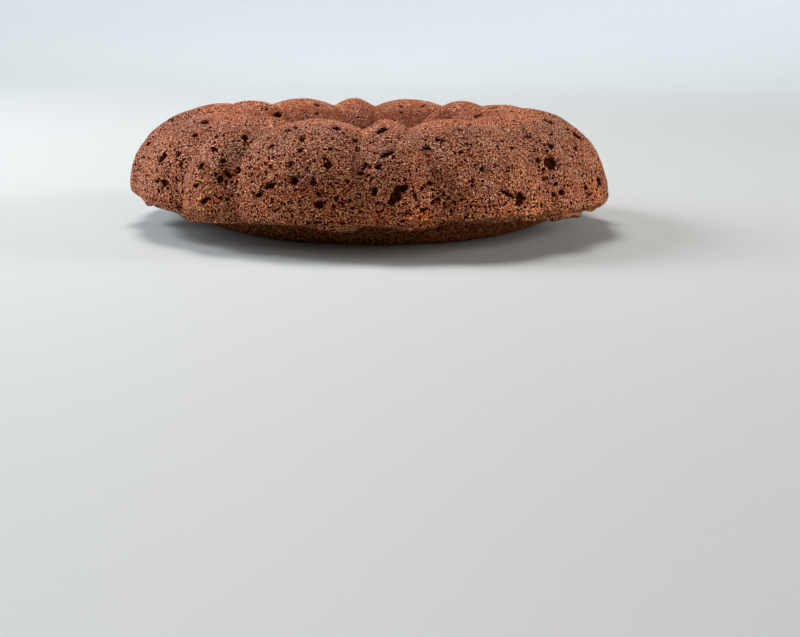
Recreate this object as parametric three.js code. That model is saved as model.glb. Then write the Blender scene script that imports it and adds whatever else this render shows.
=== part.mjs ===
// A fluted ring cake: baked in a round tube pan, turned out upside down, whole and uncut.
// Millimetres. +Z is up, the front faces -Y, and the cake rests on z = 0.
//
// The cake is one closed skin. One section of the ring is drawn twice, once through the top of a
// flute (RIDGE) and once through the groove between two flutes (GROOVE). Going round the ring, the
// skin swings between the two drawings. Wide and narrow flutes take turns, eight of each.
import * as THREE from 'three';

// ---- Flutes round the ring, in degrees ----
const FLUTE_PAIRS = 8;
const PAIR_ANGLE = 360 / FLUTE_PAIRS;
const NARROW_HALF_ANGLE = 8.2;
const WIDE_HALF_ANGLE = PAIR_ANGLE / 2 - NARROW_HALF_ANGLE;
const FIRST_NARROW_FLUTE = 6.2;      // centre of the narrow flute nearest the front
const NARROW_ROUNDNESS = 1.1;        // above 1 the flute comes to more of a point
const WIDE_ROUNDNESS = 0.8;          // below 1 the flute is fuller
const GROOVE_SOFTNESS = 0.10;        // rounds the bottom of each groove

// ---- The two drawings of the section: r is the distance from the axis, z the height ----
const RIDGE = {
  lipR: 112.5,       // lower edge of the outer wall
  widestR: 118.8,    // where the outer wall stands out furthest
  widestZ: 18.5,
  crestR: 77.0,      // highest line of the ring
  crestZ: 56.4,
  throatR: 39.0,     // where the inner slope meets the straight wall of the hole
};
const GROOVE = {
  lipR: 109.5,
  widestR: 113.6,
  widestZ: 19.5,
  crestR: 77.5,
  crestZ: 51.6,
  throatR: 41.5,
};

// ---- What every section shares ----
const THROAT_Z = 24.0;
const HOLE_R = 28.0;                 // bottom of the hole, its narrowest place
const HOLE_EDGE_Z = 7.0;
const REST_INNER_R = 54.0;           // flat ring the cake rests on
const REST_OUTER_R = 72.0;
const LIP_Z = 11.9;                  // mean height of the lip above the table

// ---- Unevenness left by the baking ----
const LIP_WAVES = [                  // count round the ring, height of the wave, angle of one top
  { count: 2, height: 2.0, top: 0 },
  { count: 3, height: 1.9, top: 44 },
];
const SWELL = { count: 5, size: 0.5, top: 30 };   // flutes differ a little in how far they stand out
const LEAN = 0.02;                   // sideways shift toward -X for each millimetre of height

// ---- How finely the skin is divided ----
const NARROW_STEPS = 5;
const WIDE_STEPS = 8;

const radians = THREE.MathUtils.degToRad;
const mix = THREE.MathUtils.lerp;

// The pieces of the section, in order round it. Each gives r and z for t from 0 to 1.
const SECTION_PIECES = [
  { name: 'lower edge of the outer wall', steps: 3, at: lowerEdge },
  { name: 'outer wall up to the crest', steps: 12, at: outerWall },
  { name: 'crest down to the throat', steps: 8, at: innerSlope },
  { name: 'straight wall of the hole', steps: 3, at: holeWall },
  { name: 'rounded foot of the hole', steps: 3, at: holeFoot },
  { name: 'flat ring it rests on', steps: 1, at: restingRing },
  { name: 'underside out to the lip', steps: 6, at: underside },
];

function lowerEdge(p, t) {
  const turn = (1 - t) * Math.PI / 2;
  return {
    r: p.widestR - (p.widestR - p.lipR) * (1 - Math.cos(turn)),
    z: p.widestZ - (p.widestZ - LIP_Z) * Math.sin(turn),
    lipShare: 1 - t,
  };
}

function outerWall(p, t) {
  const turn = t * Math.PI / 2;
  return {
    r: p.crestR + (p.widestR - p.crestR) * Math.cos(turn),
    z: p.widestZ + (p.crestZ - p.widestZ) * Math.sin(turn),
    lipShare: 0,
  };
}

function innerSlope(p, t) {
  const turn = t * Math.PI / 2;
  return {
    r: p.crestR - (p.crestR - p.throatR) * Math.sin(turn),
    z: THROAT_Z + (p.crestZ - THROAT_Z) * Math.cos(turn),
    lipShare: 0,
  };
}

function holeWall(p, t) {
  return { r: mix(p.throatR, HOLE_R, t), z: mix(THROAT_Z, HOLE_EDGE_Z, t), lipShare: 0 };
}

function holeFoot(p, t) {
  return { r: mix(HOLE_R, REST_INNER_R, t), z: HOLE_EDGE_Z * (1 - t) ** 2, lipShare: 0 };
}

function restingRing(p, t) {
  return { r: mix(REST_INNER_R, REST_OUTER_R, t), z: 0, lipShare: 0 };
}

function underside(p, t) {
  const rise = Math.sin(t * Math.PI / 2) ** 2;
  return { r: mix(REST_OUTER_R, p.lipR, t), z: LIP_Z * rise, lipShare: rise };
}

// 1 along the top of a flute, close to 0 along the bottom of a groove.
function fluteHeight(angle) {
  const intoPair = THREE.MathUtils.euclideanModulo(
    angle - FIRST_NARROW_FLUTE + NARROW_HALF_ANGLE, PAIR_ANGLE);
  const narrow = intoPair < 2 * NARROW_HALF_ANGLE;
  const across = narrow
    ? intoPair / NARROW_HALF_ANGLE - 1
    : (intoPair - 2 * NARROW_HALF_ANGLE) / WIDE_HALF_ANGLE - 1;
  const roundness = narrow ? NARROW_ROUNDNESS : WIDE_ROUNDNESS;
  const arch = Math.max(0, Math.cos(across * Math.PI / 2)) ** roundness;
  return Math.hypot(arch, GROOVE_SOFTNESS) / Math.hypot(1, GROOVE_SOFTNESS);
}

function wave(angle, count, top) {
  return Math.cos(radians(count * (angle - top)));
}

// One point of the skin. The angle is measured from the front (-Y) toward +X.
function skinPoint(angle, piece, t) {
  const ridge = piece.at(RIDGE, t);
  const groove = piece.at(GROOVE, t);
  const height = fluteHeight(angle);
  let lipLift = 0;
  for (const { count, height: size, top } of LIP_WAVES) {
    lipLift += size * wave(angle, count, top);
  }
  const z = mix(groove.z, ridge.z, height) + ridge.lipShare * lipLift;
  const swell = SWELL.size * wave(angle, SWELL.count, SWELL.top) * Math.min(1, z / LIP_Z);
  const r = mix(groove.r, ridge.r, height) + swell;
  return [
    r * Math.sin(radians(angle)) - LEAN * z,
    -r * Math.cos(radians(angle)),
    z,
  ];
}

// Columns of the skin. A column falls on every groove, so no groove is cut across.
function columnAngles() {
  const angles = [];
  for (let pair = 0; pair < FLUTE_PAIRS; pair++) {
    const start = FIRST_NARROW_FLUTE - NARROW_HALF_ANGLE + pair * PAIR_ANGLE;
    for (let i = 0; i < NARROW_STEPS; i++) {
      angles.push(start + 2 * NARROW_HALF_ANGLE * i / NARROW_STEPS);
    }
    for (let i = 0; i < WIDE_STEPS; i++) {
      angles.push(start + 2 * NARROW_HALF_ANGLE + 2 * WIDE_HALF_ANGLE * i / WIDE_STEPS);
    }
  }
  return angles;
}

// Rows of the skin, once round the section from the lip back to the lip.
function sectionRows() {
  const rows = [];
  for (const piece of SECTION_PIECES) {
    for (let i = 0; i < piece.steps; i++) {
      rows.push({ piece, t: i / piece.steps });
    }
  }
  return rows;
}

function buildSkin() {
  const angles = columnAngles();
  const rows = sectionRows();
  const positions = [];
  for (const angle of angles) {
    for (const row of rows) {
      positions.push(...skinPoint(angle, row.piece, row.t));
    }
  }
  const corner = (column, row) =>
    (column % angles.length) * rows.length + (row % rows.length);
  const faces = [];
  for (let c = 0; c < angles.length; c++) {
    for (let r = 0; r < rows.length; r++) {
      const a = corner(c, r);
      const b = corner(c + 1, r);
      const d = corner(c, r + 1);
      const e = corner(c + 1, r + 1);
      faces.push(a, b, e, a, e, d);
    }
  }
  const skin = new THREE.BufferGeometry();
  skin.setAttribute('position', new THREE.Float32BufferAttribute(positions, 3));
  skin.setIndex(faces);
  return skin;
}

// The lean and the swell move the outline a little, so the skin is brought back over the origin.
function centreOverOrigin(skin) {
  skin.computeBoundingBox();
  const middle = skin.boundingBox.getCenter(new THREE.Vector3());
  skin.translate(-middle.x, -middle.y, 0);
}

const crust = new THREE.MeshStandardMaterial({ color: 0x6b3f2c, roughness: 0.9, metalness: 0 });

const skin = buildSkin();
centreOverOrigin(skin);
skin.computeVertexNormals();

const cake = new THREE.Mesh(skin, crust);
cake.name = 'ring_cake';

const group = new THREE.Group();
group.add(cake);
export default group;
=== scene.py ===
"""A whole chocolate ring cake with wide and narrow flutes, on a plain pale floor.

The cake's skin is drawn in millimetres on a very fine grid, from a section like that of the CAD solid.
Lumps, holes and the torn lip are real shape in that skin, which is then thinned out to a mesh of
sensible size. The finer pores, and all colour, come from the crust's material.
"""
import itertools
import math

import bpy
import numpy as np
from mathutils import Matrix, Vector


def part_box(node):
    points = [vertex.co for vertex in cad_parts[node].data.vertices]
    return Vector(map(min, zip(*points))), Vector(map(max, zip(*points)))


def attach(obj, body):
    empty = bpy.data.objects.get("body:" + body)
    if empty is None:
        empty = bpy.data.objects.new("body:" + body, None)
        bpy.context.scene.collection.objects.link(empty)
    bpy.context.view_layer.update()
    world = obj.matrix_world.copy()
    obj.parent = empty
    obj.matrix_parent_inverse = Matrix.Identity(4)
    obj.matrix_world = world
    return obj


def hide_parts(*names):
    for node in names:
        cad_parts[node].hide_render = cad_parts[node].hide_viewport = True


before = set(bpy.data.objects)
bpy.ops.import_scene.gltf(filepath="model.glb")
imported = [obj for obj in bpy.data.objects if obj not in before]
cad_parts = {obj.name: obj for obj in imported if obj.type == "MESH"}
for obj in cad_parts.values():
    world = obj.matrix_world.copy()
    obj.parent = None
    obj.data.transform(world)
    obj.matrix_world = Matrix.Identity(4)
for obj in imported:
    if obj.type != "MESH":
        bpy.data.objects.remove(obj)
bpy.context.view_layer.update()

NODE = "ring_cake"
MM = 0.001

# ---- Flutes round the ring, in degrees, counted from the front (-Y) toward +X ----
FLUTE_PAIRS = 8
PAIR_ANGLE = 360 / FLUTE_PAIRS
NARROW_HALF_ANGLE = 8.2
WIDE_HALF_ANGLE = PAIR_ANGLE / 2 - NARROW_HALF_ANGLE
FIRST_NARROW_FLUTE = 6.2
NARROW_ROUNDNESS = 1.1
WIDE_ROUNDNESS = 0.8
GROOVE_SOFTNESS = 0.10

# ---- The section of the ring through a flute and through a groove, in millimetres ----
LOW_CORNER, HIGH_CORNER = (np.array(corner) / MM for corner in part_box(NODE))
TOP_Z = round(HIGH_CORNER[2], 1)
WIDEST_R = round((HIGH_CORNER[0] - LOW_CORNER[0]) / 2, 1)     # half the width of the frame's box
RIDGE = {
    "lip_r": WIDEST_R - 5.6,
    "widest_r": WIDEST_R + 0.7,
    "widest_z": 18.5,
    "crest_r": 77.0,
    "crest_z": TOP_Z,
    "throat_r": 39.0,
}
GROOVE = {
    "lip_r": WIDEST_R - 8.6,
    "widest_r": WIDEST_R - 4.5,
    "widest_z": 19.5,
    "crest_r": 77.5,
    "crest_z": TOP_Z - 4.8,
    "throat_r": 41.5,
}
THROAT_Z = 24.0
HOLE_R = 28.0
HOLE_EDGE_Z = 7.0
REST_INNER_R = 54.0
REST_OUTER_R = 72.0
LIP_Z = 13.4                 # where the wall ends; the torn crust hangs below it
LIP_WAVES = [                # waves round the ring, height, angle of one top
    (2, 2.0, 0),
    (3, 1.9, 44),
]
SWELL_COUNT = 5              # the ring is not quite round
SWELL_SIZE = 0.5
SWELL_TOP = 30
LEAN = 0.02                  # how far the cake leans to -X for each millimetre of height

# ---- The torn edge of thin crust that hangs from the lip, in millimetres ----
FRINGE_THICK = 1.3
LEAST_DROP = 0.05
DROP_LUMPS = [               # size of the lumps, height, shift of the pattern
    (3.2, 0.35, 4.4),
    (1.4, 0.3, 6.6),
]
IN_AND_OUT_LUMPS = [
    (5, 0.5, 8.1),
    (2.1, 0.35, 9.3),
]
# From -84 to 79 degrees this line was read off the photo by eye, and a scratch program turned the
# readings into angles and drops. The rest, on the hidden side, is made up.
LIP_LINE = [                 # angle, how far the crust hangs there
    (-176, 1.4), (-160, 0.6), (-149, 2.6), (-138, 2.2), (-131, 0.4), (-117, 1.2), (-104, 2.4),
    (-97, 0.8), (-90, 2.6), (-84, 3.8), (-77, 3.8), (-73, 1.4), (-67, 0.5), (-59, 0.1),
    (-53, 0.4), (-51, 1.4), (-49, 3.1), (-46, 3.6), (-39, 2.2), (-32, 1.1), (-27, 0.5),
    (-20, 0.1), (-16, 0.1), (-12.5, 1.2), (-9.5, 2.3), (-4, 3.3), (-2.4, 1.2), (-1, 0.2),
    (3, 0.8), (7.5, 2.4), (12.5, 3.0), (15.3, 2.7), (16.2, 0.1), (22, 0.5), (28.5, 1.9),
    (37, 2.5), (44, 3.1), (57, 3.0), (63.6, 3.1), (64.5, 0.2), (71, 1.2), (79, 1.4),
    (86, 0.5), (98, 0.9), (110, 2.4), (119, 1.6), (122, 0.3), (141, 0.8), (152, 2.2),
    (158, 2.8), (160, 0.9), (172, 0.3),
]

# ---- The crust's unevenness: size of the lumps, height, shift of the pattern, in millimetres ----
BROAD_LUMPS = [
    (17, 0.45, 3.1),
    (7, 0.30, 7.7),
]
FINE_LUMPS = [
    (2.9, 0.18, 1.3),
    (1.6, 0.16, 5.9),
]

# ---- The pits big enough to be real shape, in millimetres ----
FOAM_CELL = 3.6               # each cube of this side has one pit at most
FOAM_RADII = (-2.2, 1.0)      # from the least to the greatest, and a radius below 0 is no pit
FOAM_DEPTH = 1.1

# ---- The holes that stand out: angle, height of the middle, width, size up the crust, tilt, depth ----
# Both lists were read off the photo by eye, and a scratch program turned the readings into angles,
# heights and sizes. The tilts and depths are judged.
WALL_HOLES = [
    (-56.5, 37.5, 4.0, 6.2, -25, 2.0), (-51.5, 40.5, 2.4, 3.2, 0, 1.6), (-55, 54, 4.6, 4.0, 0, 2.0),
    (-51.5, 49.5, 3.2, 2.6, 0, 1.8), (-41.5, 49.5, 2.8, 5.0, 0, 1.3), (-39, 44, 3.6, 2.8, 0, 1.6),
    (-35, 40, 3.2, 2.8, 0, 1.6), (-40.5, 37, 4.2, 4.0, 0, 2.0), (-33, 35, 5.2, 2.4, -35, 1.6),
    (-34.5, 32.5, 3.6, 3.4, 0, 2.0), (-55.5, 27, 4.4, 1.8, 0, 1.6), (-52.5, 27, 5.0, 3.6, 0, 0.9),
    (-40.5, 28, 4.0, 1.8, 0, 1.5), (-36.5, 23, 3.4, 1.8, 0, 1.5), (-32.5, 23, 2.6, 1.8, 0, 1.5),
    (-33.5, 50.5, 3.4, 3.4, 0, 1.5), (-26, 50.5, 4.4, 1.8, 30, 1.0), (-16.5, 50, 3.0, 4.0, 20, 2.3),
    (-16, 45.5, 2.2, 2.8, 0, 1.8), (-17.5, 40, 1.8, 4.0, -10, 1.8), (-16, 33.5, 4.0, 3.6, 0, 2.6),
    (-12, 33, 2.8, 2.6, 0, 2.0), (-21.5, 31, 5.8, 2.8, 20, 2.8), (-24, 26.5, 4.6, 2.2, 15, 2.4),
    (-10.5, 23.5, 4.8, 2.5, -5, 2.6), (-10.5, 28.5, 2.2, 1.8, 0, 1.5), (-7, 26.5, 2.6, 1.8, 0, 1.6),
    (-9.5, 43, 5.0, 1.5, -35, 1.1), (-9, 40.5, 4.2, 4.0, 0, 0.9), (-9, 54.5, 4.8, 4.0, 0, 1.2),
    (-9, 47, 2.2, 2.6, 0, 1.3), (-7.5, 23, 2.2, 1.8, 0, 1.4), (-3.5, 52, 3.5, 3.0, 0, 1.0),
    (-1, 42, 2.4, 3.2, 0, 1.8), (-2, 38, 2.6, 2.4, 0, 1.8), (2, 40.5, 3.0, 3.4, 0, 2.2),
    (4, 45, 6.6, 3.0, 20, 2.8), (1, 30, 3.0, 3.8, 0, 2.3), (3.5, 54, 5.8, 4.0, 25, 1.5),
    (1, 51, 3.6, 2.0, 0, 1.0), (6.8, 31.2, 7.4, 3.2, 12, 3.0), (5.6, 28, 5.2, 5.0, -10, 2.4),
    (4.6, 25.6, 3.2, 3.4, 0, 2.0), (1.7, 24.7, 2.2, 2.0, 0, 1.4), (9.5, 28.5, 2.8, 1.8, 0, 1.4),
    (14.5, 50, 4.0, 2.6, -35, 1.1), (14, 46.5, 3.6, 1.6, -30, 1.1), (13.5, 33.5, 2.4, 2.2, 0, 1.6),
    (17, 26.5, 1.9, 1.8, 0, 1.4), (18.5, 51.5, 5.4, 2.2, -20, 1.0), (25.5, 53.5, 2.4, 3.4, 0, 1.3),
    (30.5, 27.5, 9.0, 1.8, -30, 1.5), (33.5, 25, 4.6, 6.0, -20, 1.9), (37, 47, 3.4, 3.0, 30, 1.1),
    (44.5, 41.5, 2.6, 3.0, 0, 1.3), (47, 39, 6.5, 6.0, 20, 1.6), (50.5, 45.5, 5.0, 3.0, 40, 1.3),
    (52.5, 37, 3.4, 2.4, 0, 1.4), (54, 52.5, 2.2, 5.0, 0, 1.0), (47.5, 25.5, 3.4, 3.0, 0, 1.7),
    (46.5, 30, 2.6, 1.8, 0, 1.3), (41.5, 19.6, 4.0, 2.3, 0, 1.5), (61.5, 25, 4.0, 2.4, 0, 1.8),
    (62.5, 20.5, 4.0, 2.3, 0, 1.8), (64.5, 43.5, 3.0, 2.6, 0, 1.2), (68.5, 26.5, 8.0, 5.0, 0, 3.0),
    (72, 47, 9.0, 6.5, 0, 1.7), (68.5, 54, 4.0, 7.0, 0, 1.3),
]
SLOPE_HOLES = [
    (-124, 54.5, 3.0, 2.2, 0, 1.2), (-124, 51.5, 5.2, 4.4, 0, 1.8), (-153, 54, 3.4, 3.8, 30, 1.4),
    (-149, 50, 2.8, 2.4, 0, 1.3), (-139, 49, 2.6, 2.2, 0, 1.2), (-149, 56, 4.0, 3.2, 0, 0.9),
    (164, 53.5, 3.0, 3.0, 0, 1.2), (115, 55.8, 3.0, 6.5, 0, 1.2), (47.5, 54.5, 3.0, 2.4, 0, 1.2),
]

# ---- More holes at random ----
SMALL_HOLES = [               # piece of the section, count, greatest size
    ("outer_wall", 220, 2.6),
    ("inner_slope", 50, 2.6),
    ("lower_edge", 30, 2.4),
]
FAR_HOLES = 60                # on the far wall, as big as those above
FAR_HOLE_ANGLES = (80, 280)
FAR_HOLE_WIDTHS = (2.4, 6.5)
HOLE_SOFTNESS = 0.2           # how far its rounded edge reaches into a hole, as a share of the radius
HOLE_RAGGEDNESS = [           # size of the lumps, share of the radius, shift of the pattern
    (1.6, 0.22, 2.5),
    (0.7, 0.12, 4.5),
]
FULL_SHADE_DEPTH = 1.6              # a hole as deep as this gets full painted shade all over

# ---- Orange-brown patches near the lip: angle, height, reach, strength ----
GOLDEN_PATCHES = [
    (-37, 23, 9, 0.9), (-29, 14, 5, 0.7), (-7, 14, 6, 0.8), (3, 16, 7, 0.6), (11, 15, 9, 0.9),
    (29, 18, 7, 0.6), (40, 19, 9, 0.8), (66, 20, 8, 0.5), (120, 18, 10, 0.7), (176, 17, 9, 0.8),
    (-130, 19, 9, 0.7),
]
GOLDEN_R = 116                # the patches' distance from the axis

# ---- How finely the skin is drawn before it is thinned out ----
COLUMNS = 1500
LEAST_STEP = 0.33             # no two points next to each other on the wall are closer, in millimetres
TRIANGLES_KEPT = 190_000

SEED = 11


# ======================= Smooth random values in space =======================

NOISE_SIDE = 64               # the pattern repeats after this many lumps
NOISE_TABLE = np.random.default_rng(SEED).uniform(-1, 1, (NOISE_SIDE,) * 3)


def noise(points, lump, shift=0.0):
    """Smooth noise from -1 to 1 at points in millimetres, with lumps of about that size."""
    scaled = points / lump + shift
    cell = np.floor(scaled).astype(int)
    part = scaled - cell
    part = part * part * (3 - 2 * part)
    total = np.zeros(points.shape[:-1])
    for corner in itertools.product((0, 1), repeat=3):
        weight = np.ones(points.shape[:-1])
        for axis in range(3):
            weight *= part[..., axis] if corner[axis] else 1 - part[..., axis]
        index = (cell + corner) % NOISE_SIDE
        total += weight * NOISE_TABLE[index[..., 0], index[..., 1], index[..., 2]]
    return total


def lumps(points, sizes):
    """Noise of several sizes added up. Each has the size of its lumps, their height and a shift."""
    return sum(height * noise(points, lump, shift) for lump, height, shift in sizes)


def cell_pits(points, cell, radii_range, seed):
    """Round pits in a foam of cells: how far inside its nearest pit each point is, in millimetres.

    Each cube of space holds one pit centre, and each pit has a radius of its own.
    """
    rng = np.random.default_rng(seed)
    centres = rng.uniform(0, 1, (NOISE_SIDE,) * 3 + (3,))
    radii = rng.uniform(*radii_range, (NOISE_SIDE,) * 3)
    scaled = points / cell
    home = np.floor(scaled).astype(int)
    inside = np.full(points.shape[:-1], -cell)
    for step in itertools.product((-1, 0, 1), repeat=3):
        near = home + step
        index = tuple((near % NOISE_SIDE).reshape(-1, 3).T)
        centre = (near.reshape(-1, 3) + centres[index]) * cell
        away = np.linalg.norm(points.reshape(-1, 3) - centre, axis=1)
        inside = np.maximum(inside, (radii[index] - away).reshape(inside.shape))
    return inside


def step_up(value, low, high):
    """0 below low, 1 above high, smooth between."""
    t = np.clip((value - low) / (high - low), 0, 1)
    return t * t * (3 - 2 * t)


def mix(a, b, t):
    return a + (b - a) * t


def wave(angle, count, top):
    return np.cos(np.radians(count * (angle - top)))


# ======================= The section, piece by piece =======================
# Each takes the section's sizes and how far along the piece t lies, from 0 to 1. It gives the distance
# from the axis, the height, and how far the point follows the lip's wave.

def lower_edge(sizes, t):
    turn = (1 - t) * math.pi / 2
    r = sizes["widest_r"] - (sizes["widest_r"] - sizes["lip_r"]) * (1 - np.cos(turn))
    z = sizes["widest_z"] - (sizes["widest_z"] - LIP_Z) * np.sin(turn)
    return r, z, 1 - t


def outer_wall(sizes, t):
    turn = t * math.pi / 2
    r = sizes["crest_r"] + (sizes["widest_r"] - sizes["crest_r"]) * np.cos(turn)
    z = sizes["widest_z"] + (sizes["crest_z"] - sizes["widest_z"]) * np.sin(turn)
    return r, z, 0 * t


def inner_slope(sizes, t):
    turn = t * math.pi / 2
    r = sizes["crest_r"] - (sizes["crest_r"] - sizes["throat_r"]) * np.sin(turn)
    z = THROAT_Z + (sizes["crest_z"] - THROAT_Z) * np.cos(turn)
    return r, z, 0 * t


def hole_wall(sizes, t):
    return mix(sizes["throat_r"], HOLE_R, t), mix(THROAT_Z, HOLE_EDGE_Z, t), 0 * t


def hole_foot(sizes, t):
    return mix(HOLE_R, REST_INNER_R, t), HOLE_EDGE_Z * (1 - t) ** 2, 0 * t


def resting_ring(sizes, t):
    return mix(REST_INNER_R, REST_OUTER_R, t), 0 * t, 0 * t


def underside(sizes, t):
    rise = np.sin(t * math.pi / 2) ** 2
    return mix(REST_OUTER_R, sizes["lip_r"] - FRINGE_THICK, t), LIP_Z * rise, rise


def fringe(sizes, t):
    return sizes["lip_r"] - FRINGE_THICK * (1 - t), LIP_Z + 0 * t, 1 + 0 * t


PIECES = [                 # piece, rows
    (lower_edge, 20),
    (outer_wall, 164),
    (inner_slope, 96),
    (hole_wall, 14),
    (hole_foot, 16),
    (resting_ring, 8),
    (underside, 44),
    (fringe, 10),
]


def flute_height(angle):
    """1 along the top of a flute, close to 0 along the bottom of a groove."""
    into_pair = (angle - FIRST_NARROW_FLUTE + NARROW_HALF_ANGLE) % PAIR_ANGLE
    narrow = into_pair < 2 * NARROW_HALF_ANGLE
    across = np.where(
        narrow,
        into_pair / NARROW_HALF_ANGLE - 1,
        (into_pair - 2 * NARROW_HALF_ANGLE) / WIDE_HALF_ANGLE - 1,
    )
    roundness = np.where(narrow, NARROW_ROUNDNESS, WIDE_ROUNDNESS)
    arch = np.clip(np.cos(across * math.pi / 2), 0, 1) ** roundness
    return np.hypot(arch, GROOVE_SOFTNESS) / math.hypot(1, GROOVE_SOFTNESS)


class Skin:
    """The grid of points of the skin, its rows named by piece, and what the material needs to know."""

    def __init__(self):
        self.angle = np.arange(COLUMNS) * 360 / COLUMNS
        self.rows = {}
        parts = []
        start = 0
        for piece, count in PIECES:
            t = np.arange(count) / count
            self.rows[piece] = slice(start, start + count)
            start += count
            parts.append((piece(RIDGE, t), piece(GROOVE, t)))
        ridge_r, ridge_z, follow = (np.concatenate([part[0][k] for part in parts]) for k in range(3))
        groove_r, groove_z = (np.concatenate([part[1][k] for part in parts]) for k in range(2))
        height = flute_height(self.angle)[:, None]
        r = mix(groove_r, ridge_r, height)
        z = mix(groove_z, ridge_z, height)
        lift = sum(size * wave(self.angle, count, top) for count, size, top in LIP_WAVES)
        z = z + follow * lift[:, None]
        swell = SWELL_SIZE * wave(self.angle, SWELL_COUNT, SWELL_TOP)
        r = r + swell[:, None] * np.minimum(1, z / LIP_Z)
        self.follow = follow
        turn = np.radians(self.angle)[:, None]
        self.points = np.stack([r * np.sin(turn) - LEAN * z, -r * np.cos(turn), z], axis=-1)
        self.centre_on_frame()
        self.shape = z.shape
        self.hole_shade = np.zeros(self.shape)       # how much painted shade each point gets for lying in a hole or pit
        self.sink = np.zeros(self.shape)         # how far the holes push it in

    def centre_on_frame(self):
        """Moves the skin sideways, so that it lies in the middle of the frame's box."""
        middle = (LOW_CORNER + HIGH_CORNER) / 2
        flat = self.points.reshape(-1, 3)
        shift = middle - (flat.min(axis=0) + flat.max(axis=0)) / 2
        shift[2] = 0
        self.points += shift

    def directions(self):
        """Unit vectors round the ring, along the section, and out of the cake."""
        round_ring = np.roll(self.points, -1, axis=0) - np.roll(self.points, 1, axis=0)
        along = np.roll(self.points, -1, axis=1) - np.roll(self.points, 1, axis=1)
        out = np.cross(round_ring, along)
        return [v / np.maximum(np.linalg.norm(v, axis=-1, keepdims=True), 1e-9)
                for v in (round_ring, along, out)]


def row_share(skin, **shares):
    """One number for each row: the given start and end values of each named piece, 0 elsewhere."""
    values = np.zeros(skin.shape[1])
    for piece, rows in skin.rows.items():
        if piece.__name__ in shares:
            start, end = shares[piece.__name__]
            count = rows.stop - rows.start
            values[rows] = mix(start, end, np.arange(count) / count)
    return values


# ======================= Lumps, holes and the torn lip =======================

def add_lumps(skin):
    """The crust's unevenness, from broad swells down to crumb-sized grains."""
    out = skin.directions()[2]
    strength = row_share(
        skin,
        lower_edge=(0.7, 1), outer_wall=(1, 0.7), inner_slope=(0.7, 0.6), hole_wall=(0.6, 0.6),
        hole_foot=(0.6, 0), underside=(0, 0.9), fringe=(0.9, 0.7),
    )
    here = skin.points
    broad = lumps(here, BROAD_LUMPS) * strength
    fine = lumps(here, FINE_LUMPS) * strength ** 3
    skin.points = here + out * (broad + fine)[..., None]


def add_fringe(skin):
    """Thin crust torn off the pan's rim hangs from the lip, here more and there less."""
    rows = skin.rows[fringe]
    count = rows.stop - rows.start
    t = np.arange(count) / count
    tent = (1 - np.abs(2 * t - 1)) ** 0.8
    turn = np.radians(skin.angle)
    outward = np.stack([np.sin(turn), -np.cos(turn)], axis=-1)
    ring = np.zeros((COLUMNS, 3))
    ring[:, :2] = RIDGE["lip_r"] * outward
    angles, drops = zip(*LIP_LINE)
    drop = np.interp(skin.angle, angles, drops, period=360) + lumps(ring, DROP_LUMPS)
    skin.points[:, rows, 2] -= np.maximum(drop, LEAST_DROP)[:, None] * tent
    push = outward * lumps(ring, IN_AND_OUT_LUMPS)[:, None]
    skin.points[..., :2] += push[:, None, :] * (skin.follow ** 2)[None, :, None]


def add_pits(skin):
    """The foam of small pits that covers the crust, thick on the wall and thin on the crest."""
    out = skin.directions()[2]
    here = skin.points
    bend = np.stack([noise(here, 1.8, shift) for shift in (0.7, 5.2, 9.9)], axis=-1)
    openness = row_share(
        skin,
        lower_edge=(0.2, 1), outer_wall=(1, 0.55), inner_slope=(0.55, 0.5), hole_wall=(0.6, 0.5),
        hole_foot=(0.4, 0), fringe=(0, 0.2),
    )
    patchy = openness * mix(0.55, 1.0, step_up(noise(here, 12, 6.1), -0.3, 0.2))
    inside = cell_pits(here + bend, FOAM_CELL, FOAM_RADII, SEED + 2) - 0.9 * (1 - patchy)
    sunk = step_up(inside, -0.1, 0.5)
    skin.points = here - out * (FOAM_DEPTH * sunk)[..., None]
    # The sunk pits get painted shade, as dark as they are sunk.
    skin.hole_shade = np.maximum(skin.hole_shade, sunk)


def sink_hole(skin, base, column, row, width, tall, tilt, depth):
    """Pushes one hole into the skin. Width runs round the ring and tall along the section."""
    directions = base["directions"]
    reach = int(1.6 * max(width, tall) / LEAST_STEP) + 4
    columns = (np.arange(column - reach, column + reach + 1)) % COLUMNS
    rows = np.arange(max(row - reach, 0), min(row + reach + 1, skin.shape[1]))
    window = np.ix_(columns, rows)
    here = base["points"][window]
    away = here - base["points"][column, row]
    sideways = away @ directions[0][column, row]
    along = away @ directions[1][column, row]
    turn = math.radians(tilt)
    across = (sideways * math.cos(turn) + along * math.sin(turn)) / (width / 2)
    upward = (along * math.cos(turn) - sideways * math.sin(turn)) / (tall / 2)
    ragged = lumps(here, HOLE_RAGGEDNESS)
    distance = np.hypot(across, upward) + ragged
    sunk = 1 - step_up(distance, 1 - HOLE_SOFTNESS, 1 + HOLE_SOFTNESS / 3)
    skin.sink[window] = np.maximum(skin.sink[window], depth * sunk * (1 + 0.3 * ragged))
    # Painted shade in the hole, darker the deeper it is.
    skin.hole_shade[window] = np.maximum(skin.hole_shade[window], sunk * min(1, depth / FULL_SHADE_DEPTH))


def row_at(skin, piece, t):
    """The row of the skin at t along that piece of the section."""
    rows = skin.rows[piece]
    return int(rows.start + t * (rows.stop - rows.start - 1))


def wall_t(z):
    """How far up the outer wall a height in millimetres lies, from 0 to 1."""
    share = (z - RIDGE["widest_z"]) / (RIDGE["crest_z"] - RIDGE["widest_z"])
    return math.asin(min(1, max(0, share))) / (math.pi / 2)


def slope_t(z):
    """How far down the inner slope a height in millimetres lies, from 0 to 1."""
    share = (z - THROAT_Z) / (RIDGE["crest_z"] - THROAT_Z)
    return math.acos(min(1, max(0, share))) / (math.pi / 2)


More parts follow.
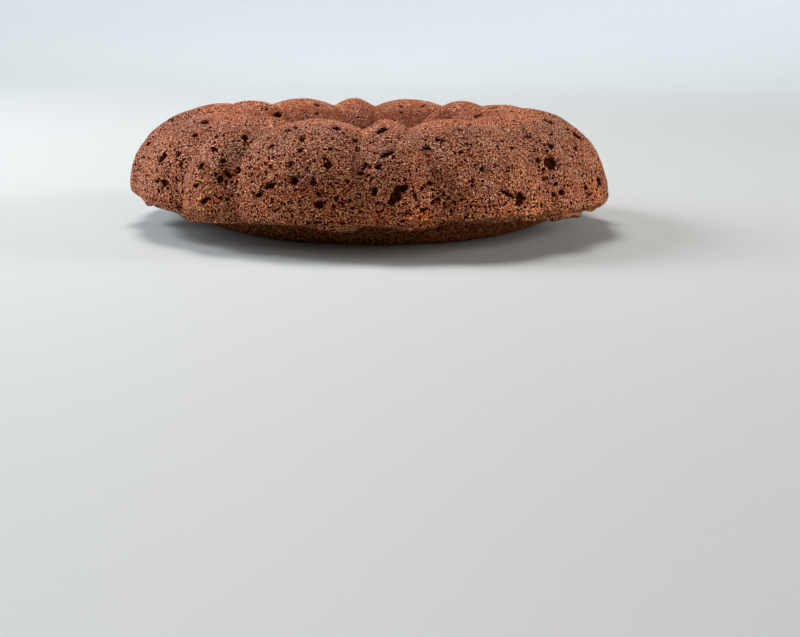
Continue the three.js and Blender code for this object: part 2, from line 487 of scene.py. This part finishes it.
def add_listed_holes(skin, base):
    listed = [(outer_wall, wall_t, WALL_HOLES), (inner_slope, slope_t, SLOPE_HOLES)]
    for piece, t_at, holes in listed:
        for angle, z, width, tall, tilt, depth in holes:
            column = round(angle / 360 * COLUMNS) % COLUMNS
            sink_hole(skin, base, column, row_at(skin, piece, t_at(z)), width, tall, tilt, depth)


def add_small_holes(skin, base, rng):
    """Small holes all round, as many on each piece of the section as SMALL_HOLES says."""
    pieces = {piece.__name__: piece for piece in skin.rows}
    for name, count, greatest in SMALL_HOLES:
        for _ in range(count):
            t = rng.beta(1.1, 1.4) * 0.95
            size = min(greatest, 1.1 + rng.gamma(1.0, 0.5))
            column = int(rng.integers(COLUMNS))
            width = size * rng.uniform(0.9, 1.8)
            tall = size * rng.uniform(0.6, 1.1)
            tilt = rng.normal(0, 35)
            depth = min(2.6, size * rng.uniform(0.5, 0.9))
            sink_hole(skin, base, column, row_at(skin, pieces[name], t), width, tall, tilt, depth)


def add_far_holes(skin, base, rng):
    """Bigger holes on the far wall, where none are listed."""
    for _ in range(FAR_HOLES):
        width = rng.uniform(*FAR_HOLE_WIDTHS)
        column = round(rng.uniform(*FAR_HOLE_ANGLES) / 360 * COLUMNS)
        row = row_at(skin, outer_wall, rng.uniform(0.02, 0.85))
        tall = width * rng.uniform(0.4, 0.9)
        sink_hole(skin, base, column, row, width, tall, rng.normal(0, 30), min(2.8, width * 0.5))


def add_holes(skin):
    """The listed holes, and others at random."""
    base = {"points": skin.points.copy(), "directions": skin.directions()}
    rng = np.random.default_rng(SEED + 1)
    add_listed_holes(skin, base)
    add_small_holes(skin, base, rng)
    add_far_holes(skin, base, rng)
    out = base["directions"][2]
    skin.points = skin.points - out * skin.sink[..., None]


# ======================= The mesh =======================

def mesh_of(skin, name):
    """The skin as a closed mesh of four-sided faces, and how many triangles they make."""
    skin.points[..., 2] = np.maximum(skin.points[..., 2], 0)     # nothing reaches below the floor
    points = skin.points.reshape(-1, 3) * MM
    index = np.arange(len(points)).reshape(skin.shape)
    next_column = np.roll(index, -1, axis=0)
    corners = [index, next_column, np.roll(next_column, -1, axis=1), np.roll(index, -1, axis=1)]
    faces = np.stack(corners, axis=-1).reshape(-1, 4)
    mesh = bpy.data.meshes.new(name)
    mesh.vertices.add(len(points))
    mesh.vertices.foreach_set("co", points.ravel().astype(np.float32))
    mesh.loops.add(faces.size)
    mesh.loops.foreach_set("vertex_index", faces.ravel().astype(np.int32))
    mesh.polygons.add(len(faces))
    mesh.polygons.foreach_set("loop_start", (4 * np.arange(len(faces))).astype(np.int32))
    mesh.update(calc_edges=True)
    return mesh, 2 * len(faces)


def paint(mesh, name, values):
    """Stores one number for each point, for the material to read."""
    attribute = mesh.attributes.new(name, "FLOAT", "POINT")
    attribute.data.foreach_set("value", values.ravel().astype(np.float32))


def everywhere(skin, **shares):
    """The same number all round the ring, for each row as row_share gives it."""
    return np.ones(skin.shape) * row_share(skin, **shares)


def golden_share(skin):
    """How golden each point is: strong in a few patches near the lip."""
    share = np.zeros(skin.shape)
    for angle, height, reach, strength in GOLDEN_PATCHES:
        turn = math.radians(angle)
        middle = np.array([GOLDEN_R * math.sin(turn), -GOLDEN_R * math.cos(turn), height])
        away = np.linalg.norm(skin.points - middle, axis=-1)
        away = away + 2.5 * noise(skin.points, 4, 3.3)
        share = np.maximum(share, strength * (1 - step_up(away, 0.3 * reach, reach)))
    return share


def thin_out(piece, triangles, kept):
    """Keeps about that many triangles, most where the shape needs them."""
    modifier = piece.modifiers.new("thin", "DECIMATE")
    modifier.ratio = kept / triangles
    modifier.use_collapse_triangulate = True
    mesh = bpy.data.meshes.new_from_object(piece.evaluated_get(bpy.context.evaluated_depsgraph_get()))
    piece.modifiers.clear()
    piece.data = mesh


def build_cake():
    skin = Skin()
    add_lumps(skin)
    add_pits(skin)
    add_fringe(skin)
    add_holes(skin)
    mesh, triangles = mesh_of(skin, "cake")
    under = everywhere(
        skin, hole_foot=(0.2, 1), resting_ring=(1, 1), underside=(1, 1), fringe=(3.5, -2.5),
    )
    # Near the lip: warmer crust with painted light from below, and where the yellow specks gather.
    low = everywhere(skin, lower_edge=(1, 0.7), outer_wall=(0.7, -0.3), fringe=(1, 1))
    calm = everywhere(skin, outer_wall=(0, 0.5), inner_slope=(0.5, 1), hole_wall=(1, 1))
    rim = everywhere(skin, lower_edge=(1, -0.6), fringe=(1, 1))
    # Painted shade for the holes and pits.
    paint(mesh, "hole_shade", skin.hole_shade)
    paint(mesh, "under", under)
    paint(mesh, "low", low)
    paint(mesh, "calm", calm)
    paint(mesh, "rim", rim)
    paint(mesh, "golden", golden_share(skin))
    piece = bpy.data.objects.new("cake", mesh)
    bpy.context.scene.collection.objects.link(piece)
    thin_out(piece, triangles, TRIANGLES_KEPT)
    piece.data.shade_smooth()
    return piece


# ======================= Materials =======================

class Nodes:
    """A short way to write a material: each call adds a node and gives back its output."""

    def __init__(self, name):
        self.material = bpy.data.materials.new(name)
        self.material.use_nodes = True
        self.tree = self.material.node_tree
        self.tree.nodes.clear()

    def add(self, kind, inputs=None, output=0, **settings):
        node = self.tree.nodes.new("ShaderNode" + kind)
        for key, value in settings.items():
            setattr(node, key, value)
        for key, value in (inputs or {}).items():
            if isinstance(value, bpy.types.NodeSocket):
                self.tree.links.new(value, node.inputs[key])
            else:
                node.inputs[key].default_value = value
        return node.outputs[output]

    def math(self, operation, a, b=0.0, clamp=False):
        return self.add("Math", {0: a, 1: b}, operation=operation, use_clamp=clamp)

    def add_up(self, first, *more):
        for value in more:
            first = self.math("ADD", first, value)
        return first

    def centred(self, value, middle, gain):
        """How far the value is from its middle, times a gain."""
        return self.math("MULTIPLY", self.math("SUBTRACT", value, middle), gain)

    def clamped(self, value):
        return self.math("ADD", value, 0.0, clamp=True)

    def ramp(self, value, stops):
        """A colour for each value, blended evenly between the stops."""
        node = self.tree.nodes.new("ShaderNodeValToRGB")
        self.tree.links.new(value, node.inputs[0])
        elements = node.color_ramp.elements
        while len(elements) < len(stops):
            elements.new(1.0)
        for element, (place, colour) in zip(elements, stops):
            element.position = place
            element.color = (*colour, 1)
        return node.outputs[0]

    def fade(self, value, low, high, to_low=0.0, to_high=1.0):
        """to_low below low and to_high above high, smooth between."""
        inputs = {"Value": value, "From Min": low, "From Max": high, "To Min": to_low, "To Max": to_high}
        return self.add("MapRange", inputs, interpolation_type="SMOOTHSTEP")

    def blend(self, share, a, b, kind="MIX"):
        """Colour a where the share is 0 and colour b where it is 1."""
        node = self.tree.nodes.new("ShaderNodeMix")
        node.data_type = "RGBA"
        node.blend_type = kind
        for socket, value in ((node.inputs[0], share), (node.inputs[6], a), (node.inputs[7], b)):
            if isinstance(value, bpy.types.NodeSocket):
                self.tree.links.new(value, socket)
            elif isinstance(value, tuple):
                socket.default_value = (*value, 1)
            else:
                socket.default_value = value
        return node.outputs[2]

    def times(self, colour, factors):
        return self.blend(1.0, colour, factors, "MULTIPLY")

    def painted(self, name):
        """What paint stored on the mesh under that name."""
        return self.add("Attribute", output=2, attribute_name=name)

    def noise(self, where, lump, detail=2.0, rough=0.5):
        inputs = {"Vector": where, "Scale": 1 / lump, "Detail": detail, "Roughness": rough}
        return self.add("TexNoise", inputs)

    def finish(self, shader):
        output = self.tree.nodes.new("ShaderNodeOutputMaterial")
        self.tree.links.new(shader, output.inputs["Surface"])
        return self.material


def in_millimetres(g):
    """Each point's place on the object, with noise lumps and pits then sized in millimetres."""
    place = g.add("TexCoord", output=3)
    return g.add("VectorMath", {0: place, 3: 1 / MM}, operation="SCALE")


def foam(g, where, cell):
    """Distance from the nearest pit's middle, in cells, and a random number for each pit."""
    voronoi = g.add("TexVoronoi", {"Vector": where, "Scale": 1 / cell}, feature="F1").node
    own = g.add("SeparateColor", {0: voronoi.outputs["Color"]})
    return voronoi.outputs["Distance"], own


# The crumb's pores: cell in mm, share of cells with no pit, least and greatest radius in cells.
PIT_SIZES = [
    (0.92, 0.34, 0.36, 0.58),
    (1.5, 0.66, 0.36, 0.54),
    (2.4, 0.88, 0.36, 0.50),
]
PIT_DEPTH = 0.95
PIT_RIM = 0.28
BUMP_HEIGHT = 1.2


def bent_space(g, here):
    """Space pushed about a little and squeezed in height, so that the pits are of uneven shape."""
    bend = g.add("TexNoise", {"Vector": here, "Scale": 1 / 1.3, "Detail": 1.0}, output=1)
    bend = g.add("VectorMath", {0: bend, 1: (0.5, 0.5, 0.5)}, operation="SUBTRACT")
    bend = g.add("VectorMath", {0: bend, 3: 1.4}, operation="SCALE")
    bent = g.add("VectorMath", {0: here, 1: bend}, operation="ADD")
    return g.add("VectorMath", {0: bent, 1: (1.0, 1.0, 1.35)}, operation="MULTIPLY")


def crumb_height(g, here, bent, calm):
    """How high each point of the crumb stands, about 0 in a pit and 1 on a wall between pits. The colour
    follows it, so it also carries the pits' painted shade and the painted highlights on flecks and pit
    rims.
    """
    # Pale flecks: painted glints that lighten the colour, and lift the bump with it.
    glint_flecks = g.fade(g.noise(here, 0.40, 0.0, 0.0), 0.57, 0.67)
    crumbs = g.add_up(
        g.centred(g.noise(here, 0.45, 0.0), 0.5, 0.46),
        g.centred(g.noise(here, 0.95, 0.0), 0.5, 0.20),
        g.math("MULTIPLY", glint_flecks, 0.46),
    )
    crumbs = g.math("MULTIPLY", crumbs, g.fade(calm, 0.25, 0.75, 1.0, 0.45))
    swells = g.centred(g.noise(here, 7.0, 2.0), 0.5, 0.15)
    # Each cell's own number says whether it has a pit, and how far that pit reaches from its middle.
    shrink = g.math("MULTIPLY", calm, -0.16)
    pitted = 0.0
    rim = 0.0
    for cell, missing, least, greatest in PIT_SIZES:
        middle, own = foam(g, bent, cell)
        least_reach = g.fade(own, missing, missing + 0.02, -1.0, least)
        more_reach = g.fade(own, missing, 1.0, 0.0, greatest - least)
        inside = g.math("SUBTRACT", g.add_up(least_reach, more_reach, shrink), middle)
        pitted = g.math("MAXIMUM", pitted, g.fade(inside, -0.04, 0.04))
        rim = g.math("MAXIMUM", rim, g.fade(inside, -0.36, -0.10))
    sunk = g.math("MULTIPLY", pitted, -PIT_DEPTH)
    # The rims round the pits: real lift in the bump, and a painted highlight in the colour.
    rim_lift_and_highlight = g.math("MULTIPLY", rim, PIT_RIM)
    return g.add_up(0.435, crumbs, swells, sunk, rim_lift_and_highlight)


def crumb_colour(g, here, stand, low):
    """Near-black in the pits, which is painted shade, and pale on the walls, whose palest stops are
    painted highlights. Toward the lip the colour is warmer, and lighter with painted light from below.
    """
    # The lowest stops are painted shade in the pits; the top stop is a painted highlight.
    colour = g.ramp(stand, [
        (0.02, (0.016, 0.0001, 0.0000)),
        (0.18, (0.047, 0.0013, 0.0001)),
        (0.34, (0.084, 0.0095, 0.0012)),
        (0.52, (0.158, 0.0380, 0.0170)),
        (0.72, (0.285, 0.1050, 0.0610)),
        (0.95, (0.760, 0.4500, 0.3050)),
    ])
    redder = (1.07, 0.98, 0.88)
    greyer = (0.98, 1.00, 1.04)
    cloud = g.fade(g.noise(here, 9.0, 2.0), 0.38, 0.62)
    colour = g.times(colour, g.blend(cloud, redder, greyer))
    # Toward the lip: warmer crust, and lighter with painted light, as light bouncing up from the floor
    # would give.
    return g.blend(low, colour, g.times(colour, (1.80, 1.52, 1.20)))


def rim_skin_share(g, here):
    """Patches along the lip where the crust lay against the pan's rim and closed up."""
    patches = g.fade(g.noise(here, 11.0, 1.0), 0.42, 0.56)
    return g.math("MULTIPLY", g.fade(g.painted("rim"), 0.2, 0.8), patches)


def add_rim_skin(g, colour, stand, share):
    skin_tone = g.ramp(stand, [
        (0.10, (0.055, 0.014, 0.005)),
        (0.50, (0.230, 0.110, 0.062)),
        (0.90, (0.430, 0.250, 0.160)),
    ])
    return g.blend(g.math("MULTIPLY", share, 0.60), colour, skin_tone)


def lighten_crest(g, colour, calm):
    """A painted highlight: a lighter band along the crest, where calm is halfway, as light grazing the
    crest from behind would give.
    """
    crest_highlight = g.math("MULTIPLY", g.fade(calm, 0.34, 0.48), g.fade(calm, 0.56, 0.70, 1.0, 0.0))
    return g.blend(crest_highlight, colour, g.times(colour, (1.45, 1.38, 1.25)))


def add_gold(g, here, bent, colour, low):
    """Orange-brown clouds in the golden patches, and yellow specks there and near the lip."""
    golden = g.painted("golden")
    cloud = g.fade(g.noise(here, 4.0, 2.0), 0.40, 0.62)
    orange = g.times(colour, (1.25, 0.78, 0.38))
    colour = g.blend(g.math("MULTIPLY", golden, cloud), colour, orange)
    middle, own = foam(g, bent, 1.7)
    size = g.fade(own, 0.66, 1.0, 0.05, 0.44)
    speck = g.fade(g.math("SUBTRACT", size, middle), -0.05, 0.05)
    speck = g.math("MULTIPLY", speck, g.fade(g.add_up(low, golden), 0.55, 1.0))
    return g.blend(g.math("MULTIPLY", speck, 0.85), colour, (0.900, 0.560, 0.190))


def underside_colour(g, here, stand):
    grain = g.add_up(stand, g.centred(g.noise(here, 0.9, 1.0), 0.5, 1.6))
    return g.ramp(grain, [
        (0.20, (0.022, 0.0010, 0.0001)),
        (0.45, (0.170, 0.0180, 0.0026)),
        (0.75, (0.410, 0.0720, 0.0110)),
        (1.00, (0.900, 0.5000, 0.1600)),
    ])


# Painted shade: the dark inside the holes, where little light reaches.
def hollow_colour(g, here):
    return g.ramp(g.noise(here, 1.3, 1.0), [
        (0.40, (0.014, 0.0003, 0.0000)),
        (0.70, (0.070, 0.0130, 0.0050)),
    ])


def crust_material():
    """Open crumb: near-black pits of many sizes between lighter, thin, uneven walls; the dark of pits
    and holes is painted shade, and the palest specks are painted highlights.
    """
    g = Nodes("crust")
    here = in_millimetres(g)
    bent = bent_space(g, here)
    low = g.painted("low")
    rim_skin = rim_skin_share(g, here)
    calm = g.math("MAXIMUM", g.painted("calm"), rim_skin)
    stand = crumb_height(g, here, bent, calm)

    colour = crumb_colour(g, here, stand, low)
    colour = add_rim_skin(g, colour, stand, rim_skin)
    colour = lighten_crest(g, colour, calm)
    colour = add_gold(g, here, bent, colour, low)
    colour = g.blend(g.painted("under"), colour, underside_colour(g, here, stand))
    # Painted shade over the holes and sunk pits.
    hole_shade_share = g.fade(g.painted("hole_shade"), 0.25, 0.5, 0.0, 0.97)
    colour = g.blend(hole_shade_share, colour, hollow_colour(g, here))

    height = g.math("MULTIPLY", g.clamped(stand), BUMP_HEIGHT)
    bump = g.add("Bump", {"Height": height, "Distance": MM, "Strength": 1.0})
    shader = g.add("BsdfPrincipled", {
        "Base Color": colour,
        "Roughness": g.fade(stand, 0.4, 0.8, 1.0, 0.6),
        "Normal": bump,
        "Specular IOR Level": 0.02,
    })
    return g.finish(shader)


def floor_material():
    """Plain paper, a shade lighter in some places than in others."""
    g = Nodes("floor")
    here = g.add("TexCoord", output=3)
    cloud = g.add("TexNoise", {"Vector": here, "Scale": 1.2, "Detail": 2.0})
    colour = g.blend(g.fade(cloud, 0.3, 0.7), (0.275, 0.280, 0.274), (0.285, 0.290, 0.284))
    return g.finish(g.add("BsdfPrincipled", {"Base Color": colour, "Roughness": 0.6}))


# ======================= Stage, light and camera =======================

FLOOR_FLAT = 1.4                 # metres from the middle to where the sheet starts to turn up
FLOOR_BEND = 0.9                 # the radius of that bend
FLOOR_TOP = 3.0
FLOOR_SIDES = 96
BEND_STEPS = 12


def add_floor():
    """A seamless round sheet: flat under the cake, and turned up in a wide curve all round it."""
    profile = [(FLOOR_FLAT, 0.0)]
    for step in range(1, BEND_STEPS + 1):
        turn = step / BEND_STEPS * math.pi / 2
        r = FLOOR_FLAT + FLOOR_BEND * math.sin(turn)
        z = FLOOR_BEND * (1 - math.cos(turn))
        profile.append((r, z))
    profile.append((FLOOR_FLAT + FLOOR_BEND, FLOOR_TOP))
    points = [(0.0, 0.0, 0.0)]
    for side in range(FLOOR_SIDES):
        turn = side / FLOOR_SIDES * 2 * math.pi
        points += [(r * math.sin(turn), -r * math.cos(turn), z) for r, z in profile]
    faces = []
    for side in range(FLOOR_SIDES):
        here = 1 + side * len(profile)
        there = 1 + (side + 1) % FLOOR_SIDES * len(profile)
        faces.append((0, here, there))
        faces += [(here + i, here + i + 1, there + i + 1, there + i) for i in range(len(profile) - 1)]
    mesh = bpy.data.meshes.new("floor")
    mesh.from_pydata(points, [], faces)
    mesh.shade_smooth()
    floor = bpy.data.objects.new("floor", mesh)
    floor.data.materials.append(floor_material())
    bpy.context.scene.collection.objects.link(floor)


LIGHT_COOL = (0.93, 1.0, 1.08)
LIGHT_WHITE = (1.0, 0.99, 0.97)
LIGHT_WARM = (1.06, 0.90, 0.74)

BOX_DISTANCE = 1.55              # metres from the cake
BOX_SIDE = 0.55
BOX_SPREAD = 140                 # degrees
AIM_HEIGHT = 0.03
SOFTBOXES = [                    # name, azimuth (0 in front, 90 at +X), elevation, watts, colour
    ("left_low", -95, 17, 9, LIGHT_COOL),
    ("left_back", -112, 35, 19.5, LIGHT_COOL),
    ("right_low", 93, 17, 15, LIGHT_WHITE),
    ("front_right", 25, 22, 3.2, LIGHT_WARM),
    ("top_back", -165, 62, 17.5, LIGHT_WHITE),
]

STRIP_DISTANCE = 1.7             # metres from the cake, sideways
STRIP_HEIGHT = 1.5
STRIP_LONG = 2.6
STRIP_SHORT = 0.5
STRIP_SPREAD = 85                # narrow, so that hardly any of it reaches the cake
STRIPS = [                       # name, azimuth, watts
    ("behind", 180, 22),
    ("in_front", 0, 18),
    ("at_right", 90, 13),
    ("at_left", -90, 8),
]

SKY_COLOUR = (0.86, 0.93, 0.97, 1)
SKY_STRENGTH = 0.04


def toward(azimuth, elevation, distance):
    """The point at that distance from the origin, in that direction."""
    turn = math.radians(azimuth)
    lift = math.radians(elevation)
    flat = distance * math.cos(lift)
    return Vector((flat * math.sin(turn), -flat * math.cos(turn), distance * math.sin(lift)))


def add_area_light(name, place, aim, size, spread, watts, colour):
    data = bpy.data.lights.new(name, "AREA")
    data.shape = "RECTANGLE"
    data.size, data.size_y = size
    data.spread = math.radians(spread)
    data.energy = watts
    data.color = colour
    light = bpy.data.objects.new(name, data)
    light.location = place
    light.rotation_euler = (aim - place).to_track_quat("-Z", "Y").to_euler()
    light.visible_camera = False
    bpy.context.scene.collection.objects.link(light)


def add_softboxes():
    """Soft boxes round the cake, all aimed at it."""
    aim = Vector((0, 0, AIM_HEIGHT))
    size = (BOX_SIDE, BOX_SIDE)
    for name, azimuth, elevation, watts, colour in SOFTBOXES:
        place = aim + toward(azimuth, elevation, BOX_DISTANCE)
        add_area_light(name, place, aim, size, BOX_SPREAD, watts, colour)


def add_strips():
    """Long lights overhead, aimed straight down at the sheet round the cake."""
    for name, azimuth, watts in STRIPS:
        below = toward(azimuth, 0, STRIP_DISTANCE)
        place = below + Vector((0, 0, STRIP_HEIGHT))
        at_the_side = abs(azimuth) == 90         # there the long way runs along Y, not X
        size = (STRIP_SHORT, STRIP_LONG) if at_the_side else (STRIP_LONG, STRIP_SHORT)
        add_area_light(name, place, below, size, STRIP_SPREAD, watts, LIGHT_COOL)


def add_sky():
    """Faint even light from all round."""
    world = bpy.data.worlds.new("studio")
    world.use_nodes = True
    background = world.node_tree.nodes["Background"]
    background.inputs["Color"].default_value = SKY_COLOUR
    background.inputs["Strength"].default_value = SKY_STRENGTH
    bpy.context.scene.world = world


# A scratch program fitted these numbers to the stand's plate in the photo.
CAMERA_FROM_MIDDLE = (1.5, -719.9, 105.3)     # millimetres from the cake's origin
CAMERA_DOWN = 12.19                            # degrees below level
CAMERA_RIGHT = 1.09                            # degrees right of straight back
CAMERA_ROLL = 0.71
CAMERA_LENS = 64.8
CAMERA_SENSOR = 36


def add_camera():
    data = bpy.data.cameras.new("camera")
    data.lens = CAMERA_LENS
    data.sensor_width = CAMERA_SENSOR
    data.clip_start = 0.01
    camera = bpy.data.objects.new("camera", data)
    turn = Matrix.Rotation(math.radians(-CAMERA_RIGHT), 4, "Z")
    turn = turn @ Matrix.Rotation(math.radians(90 - CAMERA_DOWN), 4, "X")
    turn = turn @ Matrix.Rotation(math.radians(CAMERA_ROLL), 4, "Z")
    camera.matrix_world = Matrix.Translation(Vector(CAMERA_FROM_MIDDLE) * MM) @ turn
    bpy.context.scene.collection.objects.link(camera)
    bpy.context.scene.camera = camera


# ======================= The whole scene =======================

bpy.context.scene.view_settings.view_transform = "Standard"
add_camera()
cake = build_cake()
cake.data.materials.append(crust_material())
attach(cake, "root")
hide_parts(NODE)
add_floor()
add_softboxes()
add_strips()
add_sky()

bpy.context.view_layer.update()
